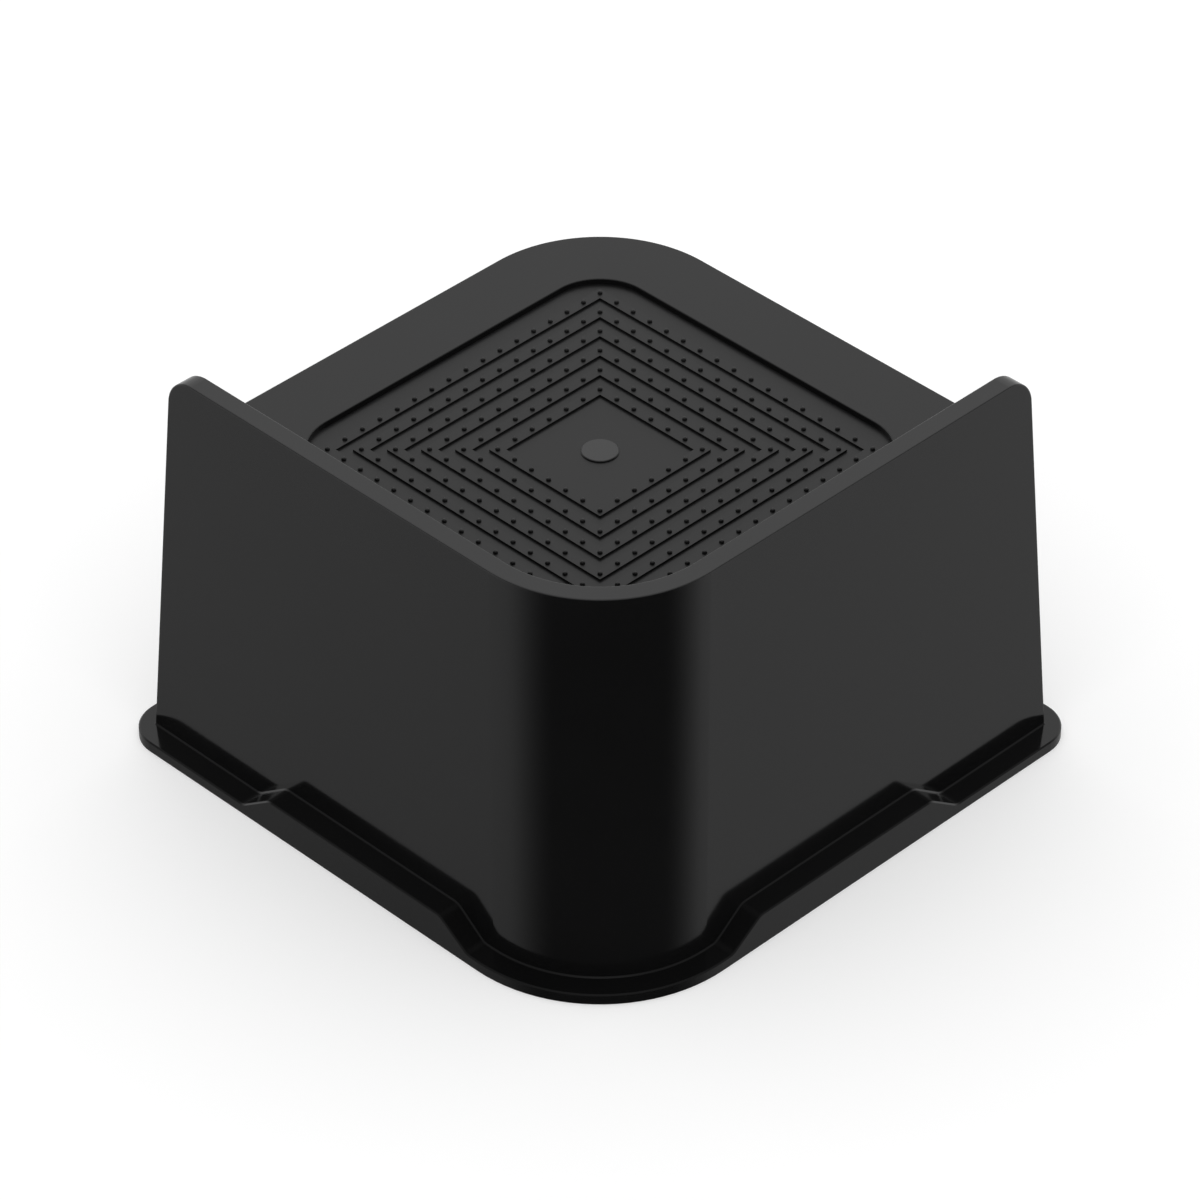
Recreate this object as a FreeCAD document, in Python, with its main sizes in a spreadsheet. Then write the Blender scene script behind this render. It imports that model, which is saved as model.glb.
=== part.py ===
import FreeCAD, Part
import math
import os

import Sketcher

# Bed riser: one moulding. A tapered square box lifts the bed leg on its platform, a guard on two
# sides keeps the leg from sliding off, and a flange with a raised stretch in each side stands on
# the floor. The guard stands on the -Y and +X sides. Origin at the middle of the base, +Z up.

doc = FreeCAD.newDocument("BedRiser")

# Driving dimensions, in millimetres and degrees
sizes = doc.addObject("Spreadsheet::Sheet", "Sizes")
dimensions = [
    ("lift", 76.2, "height of the platform over the floor"),
    ("platformSide", 127.3, "side of the square box, measured at the platform"),
    ("draft", 3.0, "taper of the outer walls"),
    ("cornerRadius", 31.0, "radius at the guard corner and at the open corner"),
    ("guardRise", 18.5, "height of the guard over the platform"),
    ("guardThickness", 4.5, "thickness of the guard at its top"),
    ("guardEndRadius", 7.0, "rounding of the guard's two free ends"),
    ("guardFootRadius", 2.0, "fillet between guard and platform"),
    ("edgeRadius", 0.3, "rounding of the guard's and the platform's edges"),
    ("rimWidth", 17.05, "width of the platform's level rim round the sunken panel"),
    ("recessDepth", 1.2, "depth of the sunken panel"),
    ("recessRadius", 12.0, "corner radius of the sunken panel"),
    ("recessEdgeRadius", 0.3, "rounding of the edge of the sunken panel"),
    ("ringPitch", 5.0, "distance between neighbouring grip ribs"),
    ("ringWidth", 2.5, "width of a grip rib"),
    ("ringHeight", 0.5, "height of a grip rib"),
    ("ringMargin", 6.0, "least distance from a grip rib's middle line to the edge of the panel"),
    ("discDiameter", 8.0, "disc in the middle of the panel"),
    ("discHeight", 0.4, "height of the disc"),
    ("discChamfer", 0.2, "chamfer round the disc"),
    ("flangeWidth", 5.05, "how far the base flange stands out from the walls"),
    ("flangeThickness", 2.5, "thickness of the base flange"),
    ("flangeRadius", 35.6, "flange radius at the guard corner and at the open corner"),
    ("flangeEndRadius", 9.0, "flange radius at the two other corners"),
    ("flangeChamfer", 0.3, "chamfer along the flange's upper edge and along its foot on the wall"),
    ("raisedHeight", 8.2, "height of the flange in the middle of each side"),
    ("raisedRun", 10.0, "length of the slope at each end of that raised stretch"),
    ("raisedBend", 3.0, "radius of the two bends of that slope"),
    ("raisedMargin", 2.1, "distance from the foot of the slope to where the flange's corner begins"),
    ("skirtThickness", 2.2, "thickness of the skirt in front of it"),
    ("wallThickness", 3.0, "thickness of the box's walls"),
    ("roofThickness", 3.0, "thickness under the sunken panel"),
    ("ribThickness", 2.4, "thickness of the ribs underneath"),
    ("ribSpacing", 43.0, "distance between the two parallel ribs"),
    ("stackClearance", 1.2, "room around another riser's guard when two are stacked"),
]
for row, (alias, value, note) in enumerate(dimensions, start=1):
    sizes.set(f"A{row}", str(value))
    sizes.setAlias(f"A{row}", alias)
    sizes.set(f"B{row}", note)
doc.recompute()

# The box narrows upwards, so its half side differs from the floor to the guard's top
platformHalf = "(Sizes.platformSide / 2)"
halfAtFloor = f"({platformHalf} + Sizes.lift * tan(Sizes.draft))"
halfAtTop = f"({platformHalf} - Sizes.guardRise * tan(Sizes.draft))"
guardInside = f"({halfAtTop} - Sizes.guardThickness)"
guardFoot = f"({platformHalf} - Sizes.guardThickness)"
topHeight = "(Sizes.lift + Sizes.guardRise)"
recessHalf = f"({platformHalf} - Sizes.rimWidth)"
recessFloor = "(Sizes.lift - Sizes.recessDepth)"
roofUnderside = f"({recessFloor} - Sizes.roofThickness)"
flangeHalf = f"({halfAtFloor} + Sizes.flangeWidth)"
raisedHalf = f"({flangeHalf} - Sizes.flangeRadius - Sizes.raisedMargin - Sizes.raisedRun)"

body = doc.addObject("PartDesign::Body", "riser")
body.Label = "riser"


def evaluate(expression):
    """Value of a length expression over the sheet, used for a sketch's starting geometry."""
    value = sizes.evalExpression(expression)
    return float(getattr(value, "Value", value))


def originFeature(owner, role):
    return next(feature for feature in owner.Origin.OriginFeatures if feature.Role == role)


def planeOf(role):
    return originFeature(body, role)


def newSketch(name, role="XY_Plane", offset="0"):
    sketch = body.newObject("Sketcher::SketchObject", name)
    sketch.AttachmentSupport = (planeOf(role), [""])
    sketch.MapMode = "FlatFace"
    sketch.setExpression("AttachmentOffset.Base.z", offset)
    return sketch


def bind(sketch, constraint, name, expression):
    """Adds a dimension to the sketch and ties it to an expression."""
    index = sketch.addConstraint(constraint)
    sketch.renameConstraint(index, name)
    sketch.setExpression(f"Constraints.{name}", expression)


def addLoop(sketch, corners):
    """Closed outline of axis-aligned lines: corners are (x, y, radius), as expressions, in order.

    A radius of None leaves the corner sharp. A corner's x and y are where its two sides would meet.
    """
    points = [(evaluate(x), evaluate(y), None if r is None else evaluate(r)) for x, y, r in corners]
    count = len(points)
    tag = f"g{sketch.GeometryCount}"

    def towards(a, b, distance):
        length = math.hypot(b[0] - a[0], b[1] - a[1])
        step = distance / length
        return FreeCAD.Vector(a[0] + (b[0] - a[0]) * step, a[1] + (b[1] - a[1]) * step, 0)

    lines = []
    for i in range(count):
        a, b = points[i], points[(i + 1) % count]
        segment = Part.LineSegment(towards(a, b, a[2] or 0.0), towards(b, a, b[2] or 0.0))
        lines.append(sketch.addGeometry(segment))
    for i in range(count):
        a, b = points[i], points[(i + 1) % count]
        direction = "Horizontal" if abs(b[1] - a[1]) < abs(b[0] - a[0]) else "Vertical"
        sketch.addConstraint(Sketcher.Constraint(direction, lines[i]))
    for i in range(count):
        before, corner, after = points[i - 1], points[i], points[(i + 1) % count]
        lineIn, lineOut = lines[i - 1], lines[i]
        if corner[2] is None:
            sketch.addConstraint(Sketcher.Constraint("Coincident", lineIn, 2, lineOut, 1))
        else:
            start = towards(corner, before, corner[2])
            end = towards(corner, after, corner[2])
            centre = start + end - FreeCAD.Vector(corner[0], corner[1], 0)
            middle = centre + (FreeCAD.Vector(corner[0], corner[1], 0) - centre).normalize() * corner[2]
            arc = sketch.addGeometry(Part.Arc(start, middle, end))
            first = sketch.getPoint(arc, 1)
            startEnd, farEnd = (1, 2) if first.distanceToPoint(start) < 1e-6 else (2, 1)
            sketch.addConstraint(Sketcher.Constraint("Tangent", lineIn, 2, arc, startEnd))
            sketch.addConstraint(Sketcher.Constraint("Tangent", arc, farEnd, lineOut, 1))
            bind(sketch, Sketcher.Constraint("Radius", arc, corner[2]), f"{tag}r{i}", corners[i][2])
    for i in range(count):
        a, b = points[i], points[(i + 1) % count]
        across = "DistanceY" if abs(b[1] - a[1]) < abs(b[0] - a[0]) else "DistanceX"
        place = a[1] if across == "DistanceY" else a[0]
        expression = corners[i][1] if across == "DistanceY" else corners[i][0]
        bind(sketch, Sketcher.Constraint(across, -1, 1, lines[i], 1, place), f"{tag}p{i}", expression)


def addSquare(sketch, half, bigRadius=None, smallRadius=None):
    """Square about the origin. The guard corner is (+half, -half), the open corner opposite."""
    addLoop(sketch, [
        (f"-{half}", f"-{half}", smallRadius),
        (half, f"-{half}", bigRadius),
        (half, half, smallRadius),
        (f"-{half}", half, bigRadius),
    ])


def addPolygon(sketch, corners):
    """Closed outline of straight lines: corners are (x, y), as expressions, in order."""
    points = [FreeCAD.Vector(evaluate(x), evaluate(y), 0) for x, y in corners]
    for i, point in enumerate(points):
        sketch.addGeometry(Part.LineSegment(point, points[(i + 1) % len(points)]))
    for i, (x, y) in enumerate(corners):
        before = i - 1 if i else len(corners) - 1
        sketch.addConstraint(Sketcher.Constraint("Coincident", before, 2, i, 1))
        bind(sketch, Sketcher.Constraint("DistanceX", -1, 1, i, 1, points[i].x), f"x{i}", x)
        bind(sketch, Sketcher.Constraint("DistanceY", -1, 1, i, 1, points[i].y), f"y{i}", y)


def addRaisedProfile(sketch, halfTop, run, bend, foot, top):
    """Level top, with a ramp between two equal bends down to the foot at each end."""
    xTop, dx, radius, z0, z1 = (evaluate(e) for e in (halfTop, run, bend, foot, top))
    lift = 2 * radius - (z1 - z0)
    turn = math.asin(2 * radius / math.hypot(dx, lift)) - math.atan2(lift, dx)
    xFoot = xTop + dx
    floor = sketch.addGeometry(Part.LineSegment(FreeCAD.Vector(-xFoot, 0, 0), FreeCAD.Vector(xFoot, 0, 0)))
    level = sketch.addGeometry(Part.LineSegment(FreeCAD.Vector(-xTop, z1, 0), FreeCAD.Vector(xTop, z1, 0)))
    sketch.addConstraint(Sketcher.Constraint("Horizontal", floor))
    sketch.addConstraint(Sketcher.Constraint("Horizontal", level))
    sketch.addConstraint(Sketcher.Constraint("PointOnObject", floor, 1, -1))
    bind(sketch, Sketcher.Constraint("DistanceY", -1, 1, level, 1, z1), "top", top)
    for side, name in ((-1, "left"), (1, "right")):
        upperCentre = FreeCAD.Vector(side * xTop, z1 - radius, 0)
        lowerCentre = FreeCAD.Vector(side * xFoot, z0 + radius, 0)
        up = FreeCAD.Vector(0, 1, 0)
        halfTurn = FreeCAD.Vector(side * math.sin(turn / 2), math.cos(turn / 2), 0) * radius
        fullTurn = FreeCAD.Vector(side * math.sin(turn), math.cos(turn), 0) * radius
        start = upperCentre + up * radius
        rampTop = upperCentre + fullTurn
        rampFoot = lowerCentre - fullTurn
        end = lowerCentre - up * radius
        upper = sketch.addGeometry(Part.Arc(start, upperCentre + halfTurn, rampTop))
        ramp = sketch.addGeometry(Part.LineSegment(rampTop, rampFoot))
        lower = sketch.addGeometry(Part.Arc(rampFoot, lowerCentre - halfTurn, end))
        drop = sketch.addGeometry(Part.LineSegment(end, FreeCAD.Vector(side * xFoot, 0, 0)))
        levelEnd = 1 if side < 0 else 2
        ends = {}
        for arc, near in ((upper, start), (lower, rampFoot)):
            first = sketch.getPoint(arc, 1)
            ends[arc] = (1, 2) if first.distanceToPoint(near) < 1e-6 else (2, 1)
        sketch.addConstraint(Sketcher.Constraint("Tangent", level, levelEnd, upper, ends[upper][0]))
        sketch.addConstraint(Sketcher.Constraint("Tangent", upper, ends[upper][1], ramp, 1))
        sketch.addConstraint(Sketcher.Constraint("Tangent", ramp, 2, lower, ends[lower][0]))
        sketch.addConstraint(Sketcher.Constraint("Equal", upper, lower))
        bind(sketch, Sketcher.Constraint("Radius", upper, radius), name + "Bend", bend)
        sketch.addConstraint(Sketcher.Constraint("Coincident", lower, ends[lower][1], drop, 1))
        sketch.addConstraint(Sketcher.Constraint("Vertical", drop))
        sketch.addConstraint(Sketcher.Constraint("Vertical", lower, 3, drop, 1))
        sketch.addConstraint(Sketcher.Constraint("Coincident", drop, 2, floor, levelEnd))
        bind(sketch, Sketcher.Constraint("DistanceX", -1, 1, level, levelEnd, side * xTop),
             name + "Top", f"{side} * {halfTop}")
        bind(sketch, Sketcher.Constraint("DistanceX", -1, 1, drop, 2, side * xFoot),
             name + "Foot", f"{side} * ({halfTop} + {run})")
        bind(sketch, Sketcher.Constraint("DistanceY", -1, 1, drop, 1, z0), name + "Height", foot)


def addFeature(kind, name, **links):
    feature = body.newObject(f"PartDesign::{kind}", name)
    for key, value in links.items():
        setattr(feature, key, value)
    return feature


def addPad(name, sketch, length, reverse=False, symmetric=False):
    pad = addFeature("Pad", name, Profile=sketch, Reversed=reverse, Midplane=symmetric)
    pad.setExpression("Length", length)
    doc.recompute()
    return pad


def addPocket(name, sketch, length, reverse=False):
    pocket = addFeature("Pocket", name, Profile=sketch, Reversed=reverse)
    pocket.setExpression("Length", length)
    doc.recompute()
    return pocket


def repeatAround(name, originals):
    """Four copies about the vertical axis, a quarter turn apart."""
    pattern = addFeature("PolarPattern", name, Originals=originals, Occurrences=4, Angle=360)
    pattern.Axis = (planeOf("Z_Axis"), [""])
    body.Tip = pattern
    doc.recompute()
    return pattern


def namesAt(kind, pieces, places):
    """Names of the edges or faces, one for each place, that pass through the given places."""
    names = []
    for place in places:
        point = Part.Vertex(*(evaluate(coordinate) for coordinate in place))
        found = [i for i, piece in enumerate(pieces, start=1) if piece.distToShape(point)[0] < 1e-3]
        if len(found) != 1:
            raise RuntimeError(f"{len(found)} of kind {kind} at {place}")
        names.append(f"{kind}{found[0]}")
    return names


def edgesAt(places):
    return namesAt("Edge", body.Tip.Shape.Edges, places)


def facesAt(places):
    return namesAt("Face", body.Tip.Shape.Faces, places)


def addDraft(name, neutral, neutralFace, places, reverse=False):
    """Tilts the upright faces at the given places, about their lines in the neutral plane."""
    draft = addFeature("Draft", name, Base=(body.Tip, facesAt(places)), Reversed=reverse)
    draft.NeutralPlane = (neutral, [neutralFace])
    draft.setExpression("Angle", "Sizes.draft")
    doc.recompute()
    return draft


def addFillet(name, radius, places):
    """Rounds the edges at the given places, with all that runs on smoothly from them."""
    fillet = addFeature("Fillet", name, Base=(body.Tip, edgesAt(places)))
    fillet.setExpression("Radius", radius)
    doc.recompute()
    return fillet


def addChamfer(name, size, places):
    chamfer = addFeature("Chamfer", name, Base=(body.Tip, edgesAt(places)))
    chamfer.setExpression("Size", size)
    doc.recompute()
    return chamfer


# Outer form: a square block that narrows from the floor to the guard's top
baseOutline = newSketch("baseOutline")
addSquare(baseOutline, halfAtFloor)
addPad("outerForm", baseOutline, topHeight)
addDraft("outerDraft", planeOf("XY_Plane"), "", [
    (f"{x} * {halfAtFloor}", f"{y} * {halfAtFloor}", "Sizes.lift")
    for x, y in ((1, 0), (0, 1), (-1, 0), (0, -1))
])

# Inside: one hollow up to the roof under the sunken panel, its walls parallel to the outer ones
innerAtFloor = f"({halfAtFloor} - Sizes.wallThickness)"
innerAtRoof = f"({innerAtFloor} - {roofUnderside} * tan(Sizes.draft))"
innerHalfway = f"(({innerAtFloor} + {innerAtRoof}) / 2)"
hollowOutline = newSketch("hollowOutline")
addSquare(hollowOutline, innerAtRoof)
hollow = addPocket("hollow", hollowOutline, roofUnderside, reverse=True)
addDraft("hollowDraft", hollow, facesAt([("0", "0", roofUnderside)])[0], [
    (f"{x} * {innerAtRoof}", f"{y} * {innerAtRoof}", f"{roofUnderside} / 2")
    for x, y in ((1, 0), (0, 1), (-1, 0), (0, -1))
], reverse=True)
addFillet("hollowCorners", "Sizes.cornerRadius - Sizes.wallThickness", [
    (innerHalfway, f"-{innerHalfway}", f"{roofUnderside} / 2"),
    (f"-{innerHalfway}", innerHalfway, f"{roofUnderside} / 2"),
])

# Seat: everything over the platform goes, except the guard on two sides
halfBeyond = f"({halfAtFloor} * 2)"
seatOutline = newSketch("seatOutline", offset="Sizes.lift")
addLoop(seatOutline, [
    (f"-{halfBeyond}", f"-{guardFoot}", None),
    (guardFoot, f"-{guardFoot}", None),
    (guardFoot, halfBeyond, None),
    (f"-{halfBeyond}", halfBeyond, None),
])
seat = addPocket("seat", seatOutline, "Sizes.guardRise", reverse=True)
addDraft("guardDraft", seat, facesAt([("0", "0", "Sizes.lift")])[0], [
    ("0", f"-{guardFoot}", "Sizes.lift + Sizes.guardRise / 2"),
    (guardFoot, "0", "Sizes.lift + Sizes.guardRise / 2"),
], reverse=True)
guardHalfway = f"(({guardFoot} + {guardInside}) / 2)"
addFillet("innerCorner", "Sizes.cornerRadius - Sizes.guardThickness", [
    (guardHalfway, f"-{guardHalfway}", "Sizes.lift + Sizes.guardRise / 2"),
])

# Two upright edges are well rounded: the guard's corner, and the open corner opposite
halfHalfway = f"(({halfAtFloor} + {platformHalf}) / 2)"
addFillet("outerCorners", "Sizes.cornerRadius", [
    (halfHalfway, f"-{halfHalfway}", "Sizes.lift / 2"),
    (f"-{halfHalfway}", halfHalfway, "Sizes.lift / 2"),
])

# The guard's foot and its two free ends come first. Then two runs round every edge of guard and
# platform: the inner one drops over the guard's ends and goes on along the platform's open edges.
guardMiddle = f"({halfAtTop} - Sizes.guardThickness / 2)"
addFillet("guardFootFillet", "Sizes.guardFootRadius", [("0", f"-{guardFoot}", "Sizes.lift")])
addFillet("guardEndFillet", "Sizes.guardEndRadius", [
    (f"-{halfAtTop}", f"-{guardMiddle}", topHeight),
    (guardMiddle, halfAtTop, topHeight),
])
addFillet("innerEdges", "Sizes.edgeRadius", [("0", f"-{guardInside}", topHeight)])
addFillet("outerEdges", "Sizes.edgeRadius", [("0", f"-{halfAtTop}", topHeight)])

# Base flange, and the raised stretch in the middle of each side
wallMiddleAtFloor = f"({halfAtFloor} - Sizes.wallThickness / 2)"
flangeOutline = newSketch("flangeOutline")
addSquare(flangeOutline, flangeHalf, "Sizes.flangeRadius", "Sizes.flangeEndRadius")
addSquare(flangeOutline, wallMiddleAtFloor, "Sizes.cornerRadius - Sizes.wallThickness / 2")
addPad("flange", flangeOutline, "Sizes.flangeThickness")

raisedProfile = newSketch("raisedProfile", "XZ_Plane", flangeHalf)
addRaisedProfile(raisedProfile, raisedHalf, "Sizes.raisedRun", "Sizes.raisedBend",
                 "Sizes.flangeThickness", "Sizes.raisedHeight")
raised = addPad("raised", raisedProfile, "Sizes.flangeWidth + Sizes.wallThickness", reverse=True)
repeatAround("raisedStretches", [raised])
halfAtRaised = f"({halfAtFloor} - Sizes.raisedHeight * tan(Sizes.draft))"
addChamfer("flangeEdge", "Sizes.flangeChamfer", [("0", f"-{flangeHalf}", "Sizes.raisedHeight")])
addChamfer("flangeFoot", "Sizes.flangeChamfer", [("0", f"-{halfAtRaised}", "Sizes.raisedHeight")])

# The raised stretches are hollow too, behind a skirt that reaches the floor
skirtInside = f"({flangeHalf} - Sizes.skirtThickness)"
pocketTop = f"({raisedHalf} - Sizes.skirtThickness / 2)"
pocketFoot = f"({raisedHalf} + Sizes.raisedRun / 2 - Sizes.skirtThickness)"
pocketHeight = "(Sizes.raisedHeight - Sizes.flangeThickness)"
pocketProfile = newSketch("pocketProfile", "XZ_Plane", skirtInside)
addPolygon(pocketProfile, [
    (f"-{pocketFoot}", "0"),
    (pocketFoot, "0"),
    (pocketTop, pocketHeight),
    (f"-{pocketTop}", pocketHeight),
])
raisedPocket = addPocket("raisedPocket", pocketProfile, "Sizes.flangeWidth - Sizes.skirtThickness")
repeatAround("raisedPockets", [raisedPocket])

# Ribs underneath carry the platform. Near the walls they stop short of the floor, so that the
# guard of another riser finds room between ribs and wall when two are stacked.
stackReach = f"({guardInside} - Sizes.stackClearance)"
stackHeight = "(Sizes.guardRise + Sizes.stackClearance)"
wallMiddleAtStack = f"({wallMiddleAtFloor} - {stackHeight} * tan(Sizes.draft))"
wallMiddleAtRoof = f"({wallMiddleAtFloor} - {roofUnderside} * tan(Sizes.draft))"
ribTop = f"({roofUnderside} + Sizes.roofThickness / 2)"

ribProfile = newSketch("ribProfile", "XZ_Plane", "Sizes.ribSpacing / 2")
addPolygon(ribProfile, [
    (f"-{stackReach}", "0"),
    (stackReach, "0"),
    (stackReach, stackHeight),
    (wallMiddleAtStack, stackHeight),
    (wallMiddleAtRoof, ribTop),
    (f"-{wallMiddleAtRoof}", ribTop),
    (f"-{wallMiddleAtStack}", stackHeight),
    (f"-{stackReach}", stackHeight),
])
rib = addPad("rib", ribProfile, "Sizes.ribThickness", symmetric=True)
repeatAround("ribs", [rib])

# Sunken panel in the platform, with as many concentric grip ribs as it has room for
recessOutline = newSketch("recessOutline", offset="Sizes.lift")
addSquare(recessOutline, recessHalf, "Sizes.recessRadius", "Sizes.recessRadius")
addPocket("recess", recessOutline, "Sizes.recessDepth")
addFillet("recessEdge", "Sizes.recessEdgeRadius", [("0", recessHalf, "Sizes.lift")])

firstRing = 3  # half the side of the innermost grip rib, in pitches
lastRing = int(evaluate(f"({recessHalf} - Sizes.ringMargin) / Sizes.ringPitch"))
ringOutlines = newSketch("ringOutlines", offset=recessFloor)
for ring in range(firstRing, lastRing + 1):
    addSquare(ringOutlines, f"({ring} * Sizes.ringPitch + Sizes.ringWidth / 2)")
    addSquare(ringOutlines, f"({ring} * Sizes.ringPitch - Sizes.ringWidth / 2)")
addPad("rings", ringOutlines, "Sizes.ringHeight")

# Disc in the middle of the panel
discOutline = newSketch("discOutline", offset=recessFloor)
circle = discOutline.addGeometry(
    Part.Circle(FreeCAD.Vector(0, 0, 0), FreeCAD.Vector(0, 0, 1), evaluate("Sizes.discDiameter") / 2))
discOutline.addConstraint(Sketcher.Constraint("Coincident", circle, 3, -1, 1))
bind(discOutline, Sketcher.Constraint("Diameter", circle, evaluate("Sizes.discDiameter")),
     "diameter", "Sizes.discDiameter")
addPad("disc", discOutline, "Sizes.discHeight")
addChamfer("discEdge", "Sizes.discChamfer", [
    ("0", "Sizes.discDiameter / 2", f"{recessFloor} + Sizes.discHeight"),
])

# Nothing is written unless every object is sound
for item in doc.Objects:
    bad = {"Invalid", "Error"} & set(item.State)
    if bad:
        raise RuntimeError(f"{item.Name}: {item.State}")
shape = body.Shape
if shape.isNull() or not shape.isValid() or len(shape.Solids) != 1:
    raise RuntimeError(f"riser: null {shape.isNull()}, valid {shape.isValid()}, solids {len(shape.Solids)}")
os.makedirs("parts", exist_ok=True)
shape.exportStep("parts/riser.step")
box = shape.optimalBoundingBox(False, False)
print(f"riser: {box.XLength:.1f} x {box.YLength:.1f} x {box.ZLength:.1f} mm, {shape.Volume / 1000:.1f} cm3")
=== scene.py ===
import math

import bpy
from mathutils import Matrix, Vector


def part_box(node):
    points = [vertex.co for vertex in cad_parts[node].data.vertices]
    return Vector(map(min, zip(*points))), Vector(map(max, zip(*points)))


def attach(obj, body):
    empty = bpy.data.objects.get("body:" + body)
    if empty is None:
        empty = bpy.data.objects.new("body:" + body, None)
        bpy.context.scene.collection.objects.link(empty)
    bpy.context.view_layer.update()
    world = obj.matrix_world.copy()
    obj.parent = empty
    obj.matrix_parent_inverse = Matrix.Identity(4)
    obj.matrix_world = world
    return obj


# Bed riser of near-black moulded plastic, in metres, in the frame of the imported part.
# The guard stands on the -Y and +X sides, so its rounded corner points to (+X, -Y).

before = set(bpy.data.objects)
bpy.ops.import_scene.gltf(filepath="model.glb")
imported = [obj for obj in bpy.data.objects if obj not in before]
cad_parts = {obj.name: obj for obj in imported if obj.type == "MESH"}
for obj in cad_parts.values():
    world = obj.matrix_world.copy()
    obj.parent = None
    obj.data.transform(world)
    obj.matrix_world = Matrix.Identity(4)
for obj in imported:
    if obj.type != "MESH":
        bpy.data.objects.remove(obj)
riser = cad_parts["riser"]
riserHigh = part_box("riser")[1]
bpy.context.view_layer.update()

mm = 0.001


# An empty node group with its sockets, and the group's own input and output nodes
def makeGroup(name, inputs, outputs):
    group = bpy.data.node_groups.new(name, "ShaderNodeTree")
    for label, kind in inputs:
        group.interface.new_socket(name=label, in_out="INPUT", socket_type=kind)
    for label, kind in outputs:
        group.interface.new_socket(name=label, in_out="OUTPUT", socket_type=kind)
    return group, group.nodes.new("NodeGroupInput"), group.nodes.new("NodeGroupOutput")


# Short forms for adding and joining nodes in one tree
class Graph:

    def __init__(self, tree):
        self.tree = tree

    def add(self, kind, **settings):
        node = self.tree.nodes.new(kind)
        for key, value in settings.items():
            setattr(node, key, value)
        return node

    def put(self, socket, value):
        if isinstance(value, bpy.types.NodeSocket):
            self.tree.links.new(value, socket)
        else:
            socket.default_value = value

    def math(self, operation, *values):
        node = self.add("ShaderNodeMath", operation=operation)
        for socket, value in zip(node.inputs, values):
            self.put(socket, value)
        return node.outputs[0]

    def vector(self, operation, *values):
        node = self.add("ShaderNodeVectorMath", operation=operation)
        for socket, value in zip(node.inputs, values):
            self.put(socket, value)
        return node.outputs["Value" if operation in ("LENGTH", "DOT_PRODUCT") else "Vector"]

    # Smooth step of a value between two limits
    def ramp(self, value, low, high, fromValue=0.0, toValue=1.0):
        node = self.add("ShaderNodeMapRange", interpolation_type="SMOOTHSTEP")
        self.put(node.inputs["Value"], value)
        self.put(node.inputs["From Min"], low)
        self.put(node.inputs["From Max"], high)
        self.put(node.inputs["To Min"], fromValue)
        self.put(node.inputs["To Max"], toValue)
        return node.outputs["Result"]

    def noise(self, place, scale, detail, roughness):
        node = self.add("ShaderNodeTexNoise")
        self.put(node.inputs["Vector"], place)
        self.put(node.inputs["Scale"], scale)
        self.put(node.inputs["Detail"], detail)
        self.put(node.inputs["Roughness"], roughness)
        return node.outputs["Fac"]

    def mix(self, share, first, second):
        node = self.add("ShaderNodeMix", data_type="FLOAT")
        self.put(node.inputs[0], share)
        self.put(node.inputs[2], first)
        self.put(node.inputs[3], second)
        return node.outputs[0]

    def mixColour(self, share, first, second):
        node = self.add("ShaderNodeMix", data_type="RGBA")
        self.put(node.inputs[0], share)
        self.put(node.inputs[6], first)
        self.put(node.inputs[7], second)
        return node.outputs[2]

    def group(self, group, **inputs):
        node = self.add("ShaderNodeGroup", node_tree=group)
        for label, value in inputs.items():
            self.put(node.inputs[label], value)
        return node

    # The same place or direction without its height
    def level(self, split):
        flat = self.add("ShaderNodeCombineXYZ")
        self.put(flat.inputs[0], split.outputs["X"])
        self.put(flat.inputs[1], split.outputs["Y"])
        return flat.outputs[0]


print("stage: riser material")

# Where the moulding's finishes begin and end
zones = {
    "panelHalf": 46.5 * mm,       # sunken panel, half its side
    "panelEdge": (-0.2 * mm, 0.1 * mm),
    "panelFloor": 74.8 * mm,      # its surfaces lie between these two heights
    "panelTop": 76.1 * mm,
    "discRadius": 4.1 * mm,
    "discTop": 75.3 * mm,
    "guardTop": riserHigh.z - 0.2 * mm,
    "guardShare": 0.4,            # how much of the disc's painted highlight the guard's top has
}


# Masks: the sunken panel with its grip ribs, and the disc and the guard's top, which get a painted highlight
def makeZoneGroup():
    outputs = [("Panel", "NodeSocketFloat"), ("PaintedSheen", "NodeSocketFloat")]
    group, source, target = makeGroup("zones", [("Place", "NodeSocketVector")], outputs)
    g = Graph(group)
    split = g.add("ShaderNodeSeparateXYZ")
    g.put(split.inputs[0], source.outputs["Place"])
    height = split.outputs["Z"]
    reach = g.math("MAXIMUM", g.math("ABSOLUTE", split.outputs["X"]), g.math("ABSOLUTE", split.outputs["Y"]))
    inner, outer = (zones["panelHalf"] + edge for edge in zones["panelEdge"])
    across = g.ramp(reach, inner, outer, 1.0, 0.0)
    above = g.math("GREATER_THAN", height, zones["panelFloor"])
    below = g.math("LESS_THAN", height, zones["panelTop"])
    g.put(target.inputs["Panel"], g.math("MULTIPLY", across, g.math("MULTIPLY", above, below)))
    # Painted highlight: the disc and the guard's top get a paler colour for the sheen they show
    inDisc = g.math("LESS_THAN", g.vector("LENGTH", g.level(split)), zones["discRadius"])
    onDisc = g.math("MULTIPLY", inDisc, g.math("GREATER_THAN", height, zones["discTop"]))
    onGuard = g.math("MULTIPLY", g.math("GREATER_THAN", height, zones["guardTop"]), zones["guardShare"])
    g.put(target.inputs["PaintedSheen"], g.math("MAXIMUM", onDisc, onGuard))
    return group


# Scale, detail and roughness of each pattern in the moulded surface
patterns = {
    "wave": (45.0, 2.0, 0.5),
    "waveHeight": 0.6,
    "grain": (2600.0, 3.0, 0.6),
    "cloud": (22.0, 4.0, 0.6),
}


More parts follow.
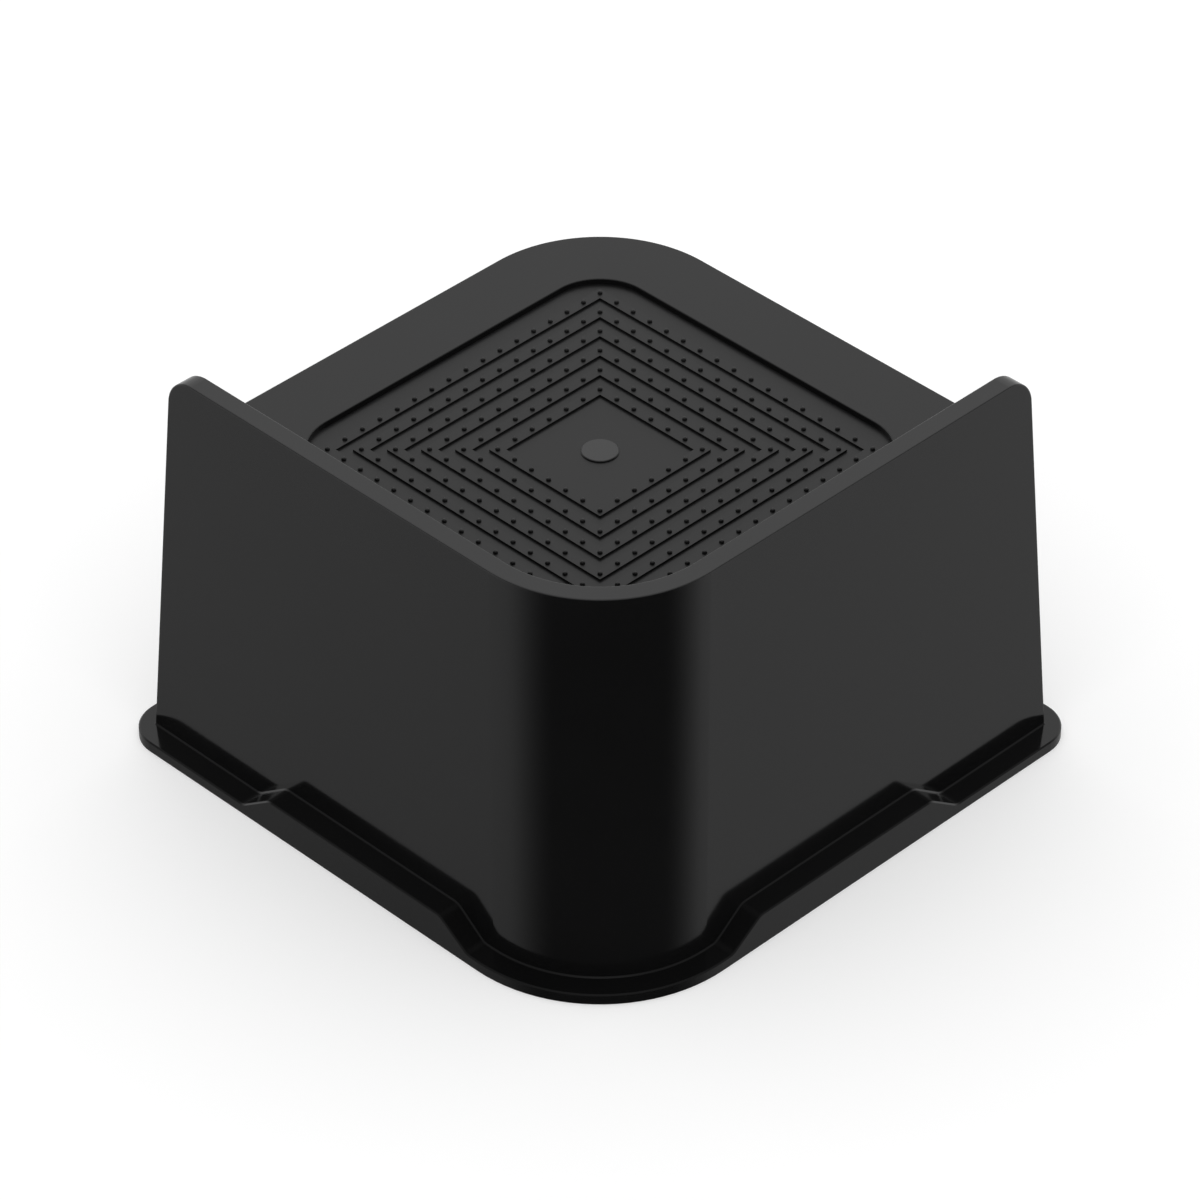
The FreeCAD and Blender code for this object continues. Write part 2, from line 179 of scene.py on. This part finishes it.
# Height of the moulded surface: a faint long wave, and a fine grain of the given strength
def makeGrainGroup():
    inputs = [("Place", "NodeSocketVector"), ("Grain", "NodeSocketFloat")]
    outputs = [("Height", "NodeSocketFloat"), ("Cloud", "NodeSocketFloat")]
    group, source, target = makeGroup("mouldedSurface", inputs, outputs)
    g = Graph(group)
    place = source.outputs["Place"]
    wave = g.math("MULTIPLY", g.noise(place, *patterns["wave"]), patterns["waveHeight"])
    grain = g.math("MULTIPLY", g.noise(place, *patterns["grain"]), source.outputs["Grain"])
    g.put(target.inputs["Height"], g.math("ADD", wave, grain))
    g.put(target.inputs["Cloud"], g.noise(place, *patterns["cloud"]))
    return group


finish = {
    "plastic": (0.0034, 0.0034, 0.0035, 1.0),
    "worn": (0.0041, 0.0041, 0.0042, 1.0),
    # painted highlight: the paler colour of the disc and the guard's top
    "paintedSheen": (0.035, 0.035, 0.0354, 1.0),
    "cloudEdges": (0.35, 0.7),    # where the worn tone begins and ends in the cloud pattern
    "shellRoughness": 0.1,
    "panelRoughness": 0.36,
    "cloudRoughness": 0.03,
    "shellGrain": 0.05,
    "panelGrain": 0.5,
    "bumpStrength": 0.25,
    "bumpHeight": 0.02 * mm,
}


def makePlastic():
    material = bpy.data.materials.new("riserPlastic")
    material.use_nodes = True
    g = Graph(material.node_tree)
    shader = material.node_tree.nodes["Principled BSDF"]
    place = g.add("ShaderNodeTexCoord").outputs["Object"]
    masks = g.group(makeZoneGroup(), Place=place)
    panel = masks.outputs["Panel"]
    strength = g.mix(panel, finish["shellGrain"], finish["panelGrain"])
    surface = g.group(makeGrainGroup(), Place=place, Grain=strength)
    cloud = g.ramp(surface.outputs["Cloud"], *finish["cloudEdges"])
    colour = g.mixColour(cloud, finish["plastic"], finish["worn"])
    # The disc and the guard's top are painted paler, as a painted highlight
    g.put(shader.inputs["Base Color"], g.mixColour(masks.outputs["PaintedSheen"], colour, finish["paintedSheen"]))
    roughness = g.mix(panel, finish["shellRoughness"], finish["panelRoughness"])
    roughness = g.math("ADD", roughness, g.math("MULTIPLY", cloud, finish["cloudRoughness"]))
    g.put(shader.inputs["Roughness"], roughness)
    bump = g.add("ShaderNodeBump")
    bump.inputs["Strength"].default_value = finish["bumpStrength"]
    bump.inputs["Distance"].default_value = finish["bumpHeight"]
    g.put(bump.inputs["Height"], surface.outputs["Height"])
    g.put(shader.inputs["Normal"], bump.outputs["Normal"])
    return material


plastic = makePlastic()
riser.data.materials.clear()
riser.data.materials.append(plastic)

print("stage: studs")

# Small round studs on the grip ribs' middle lines
studs = {
    "pitch": 5 * mm,
    "firstSquare": 3,             # innermost and outermost squares, half their side in pitches
    "lastSquare": 8,
    "base": 75.45 * mm,           # just under the top of the ribs
    "outline": ((0.55, 0.0), (0.54, 0.26), (0.38, 0.52), (0.15, 0.68)),  # radius and height in mm
    "sides": 16,
    "sharpFrom": 60.0,            # degrees
}


def makeStuds():
    points, faces = [], []
    last, pitch, sides, outline = studs["lastSquare"], studs["pitch"], studs["sides"], studs["outline"]
    squares = range(-last, last + 1)
    centres = [(i, j) for i in squares for j in squares if max(abs(i), abs(j)) >= studs["firstSquare"]]
    for i, j in centres:
        first = len(points)
        for radius, height in outline:
            for side in range(sides):
                turn = 2 * math.pi * side / sides
                points.append((i * pitch + radius * mm * math.cos(turn),
                               j * pitch + radius * mm * math.sin(turn), studs["base"] + height * mm))
        for row in range(len(outline) - 1):
            for side in range(sides):
                a = first + row * sides + side
                b = first + row * sides + (side + 1) % sides
                faces.append((a, b, b + sides, a + sides))
        top = first + (len(outline) - 1) * sides
        faces.append(tuple(reversed(range(first, first + sides))))
        faces.append(tuple(range(top, top + sides)))
    mesh = bpy.data.meshes.new("studs")
    mesh.from_pydata(points, [], faces)
    mesh.polygons.foreach_set("use_smooth", [True] * len(mesh.polygons))
    mesh.set_sharp_from_angle(angle=math.radians(studs["sharpFrom"]))
    mesh.materials.append(plastic)
    piece = bpy.data.objects.new("studs", mesh)
    bpy.context.scene.collection.objects.link(piece)
    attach(piece, "root")


makeStuds()

print("stage: floor, world and camera")

# The camera looks down at the guard's rounded corner
view = {
    "azimuth": -45.0,
    "distance": 1030.6 * mm,      # level distance from the riser's middle
    "height": 834.1 * mm,
    "aimHeight": 36 * mm,
    "lens": 185.0,
    "sensor": 36.0,
    "near": 0.05,
    "far": 20.0,
}

# White paper under the riser; from below it isn't there
paper = {
    "size": 8.0,
    "drop": 0.1 * mm,             # keeps it clear of the flange's underside
    "colour": (0.8, 0.8, 0.8, 1.0),
    "lift": 0.28,                 # makes it white to the camera, and leaves the shadow
}


def makeFloor():
    bpy.ops.mesh.primitive_plane_add(size=paper["size"], location=(0, 0, -paper["drop"]))
    floor = bpy.context.object
    floor.name = "floor"
    material = bpy.data.materials.new("floorPaper")
    material.use_nodes = True
    material.node_tree.nodes.clear()
    g = Graph(material.node_tree)
    target = g.add("ShaderNodeOutputMaterial")
    diffuse = g.add("ShaderNodeBsdfDiffuse")
    diffuse.inputs["Color"].default_value = paper["colour"]
    glow = g.add("ShaderNodeEmission")
    glow.inputs["Color"].default_value = (1, 1, 1, 1)
    ray = g.add("ShaderNodeLightPath")
    g.put(glow.inputs["Strength"], g.math("MULTIPLY", ray.outputs["Is Camera Ray"], paper["lift"]))
    both = g.add("ShaderNodeAddShader")
    g.put(both.inputs[0], diffuse.outputs[0])
    g.put(both.inputs[1], glow.outputs[0])
    side = g.add("ShaderNodeMixShader")
    g.put(side.inputs[0], g.add("ShaderNodeNewGeometry").outputs["Backfacing"])
    g.put(side.inputs[1], both.outputs[0])
    g.put(side.inputs[2], g.add("ShaderNodeBsdfTransparent").outputs[0])
    g.put(target.inputs["Surface"], side.outputs[0])
    floor.data.materials.append(material)
    floor.visible_glossy = False


# How bright the studio is, by direction: 1 is white. Azimuths are in degrees, pairs are cosines
# from an azimuth or sines of a slope, and each pair is where a change begins and ends.
studio = {
    "light": 0.77,                # at the back and over the horizon
    "dark": 0.035,
    "ground": (-0.88, -0.28),     # turns from dark to light
    "right": 45.0,                # lighter side, where the ground turns light a little lower
    "rightShift": 0.0275,
    "front": -38.0,               # dark side, which the guard's corner points to
    "frontEdge": (0.15, 0.78),
    "frontTop": (0.1, 0.5),
    "overhead": 0.17,             # over the horizon on the camera's side
    "overheadEdge": (-0.5, 0.1),
    "overheadFoot": (-0.1, 0.2),
    "overheadTop": (0.75, 0.95),
    "room": 1.0,                  # what matt surfaces receive
}


def makeWorld():
    world = bpy.data.worlds.new("studio")
    bpy.context.scene.world = world
    world.use_nodes = True
    world.node_tree.nodes.clear()
    g = Graph(world.node_tree)
    target = g.add("ShaderNodeOutputWorld")
    background = g.add("ShaderNodeBackground")
    background.inputs["Color"].default_value = (1, 1, 1, 1)
    split = g.add("ShaderNodeSeparateXYZ")
    g.put(split.inputs[0], g.vector("NORMALIZE", g.add("ShaderNodeTexCoord").outputs["Generated"]))
    heading = g.vector("NORMALIZE", g.level(split))

    def along(azimuth):
        turn = math.radians(azimuth)
        return g.vector("DOT_PRODUCT", heading, (math.cos(turn), math.sin(turn), 0.0))

    height = split.outputs["Z"]
    slope = g.math("ADD", height, g.math("MULTIPLY", along(studio["right"]), studio["rightShift"]))
    bright = g.ramp(slope, *studio["ground"], studio["dark"], studio["light"])
    over = g.ramp(along(view["azimuth"]), *studio["overheadEdge"])
    over = g.math("MULTIPLY", over, g.ramp(height, *studio["overheadFoot"]))
    over = g.math("MULTIPLY", over, g.ramp(height, *studio["overheadTop"], 1.0, 0.0))
    bright = g.mix(over, bright, studio["overhead"])
    front = g.ramp(along(studio["front"]), *studio["frontEdge"])
    front = g.math("MULTIPLY", front, g.ramp(height, *studio["frontTop"], 1.0, 0.0))
    seen = g.mix(front, bright, studio["dark"])
    ray = g.add("ShaderNodeLightPath")
    mirrored = g.math("MAXIMUM", ray.outputs["Is Glossy Ray"], ray.outputs["Is Transmission Ray"])
    strength = g.mix(mirrored, studio["room"], seen)
    g.put(background.inputs["Strength"], g.mix(ray.outputs["Is Camera Ray"], strength, 1.0))
    g.put(target.inputs["Surface"], background.outputs[0])


def makeCamera():
    camera = bpy.data.objects.new("camera", bpy.data.cameras.new("camera"))
    bpy.context.scene.collection.objects.link(camera)
    turn = math.radians(view["azimuth"])
    camera.location = (view["distance"] * math.cos(turn), view["distance"] * math.sin(turn), view["height"])
    aim = Vector((0, 0, view["aimHeight"]))
    camera.rotation_euler = (aim - camera.location).to_track_quat("-Z", "Y").to_euler()
    camera.data.lens = view["lens"]
    camera.data.sensor_width = view["sensor"]
    camera.data.clip_start = view["near"]
    camera.data.clip_end = view["far"]
    bpy.context.scene.camera = camera


makeFloor()
makeWorld()
makeCamera()
bpy.context.scene.view_settings.view_transform = "Standard"
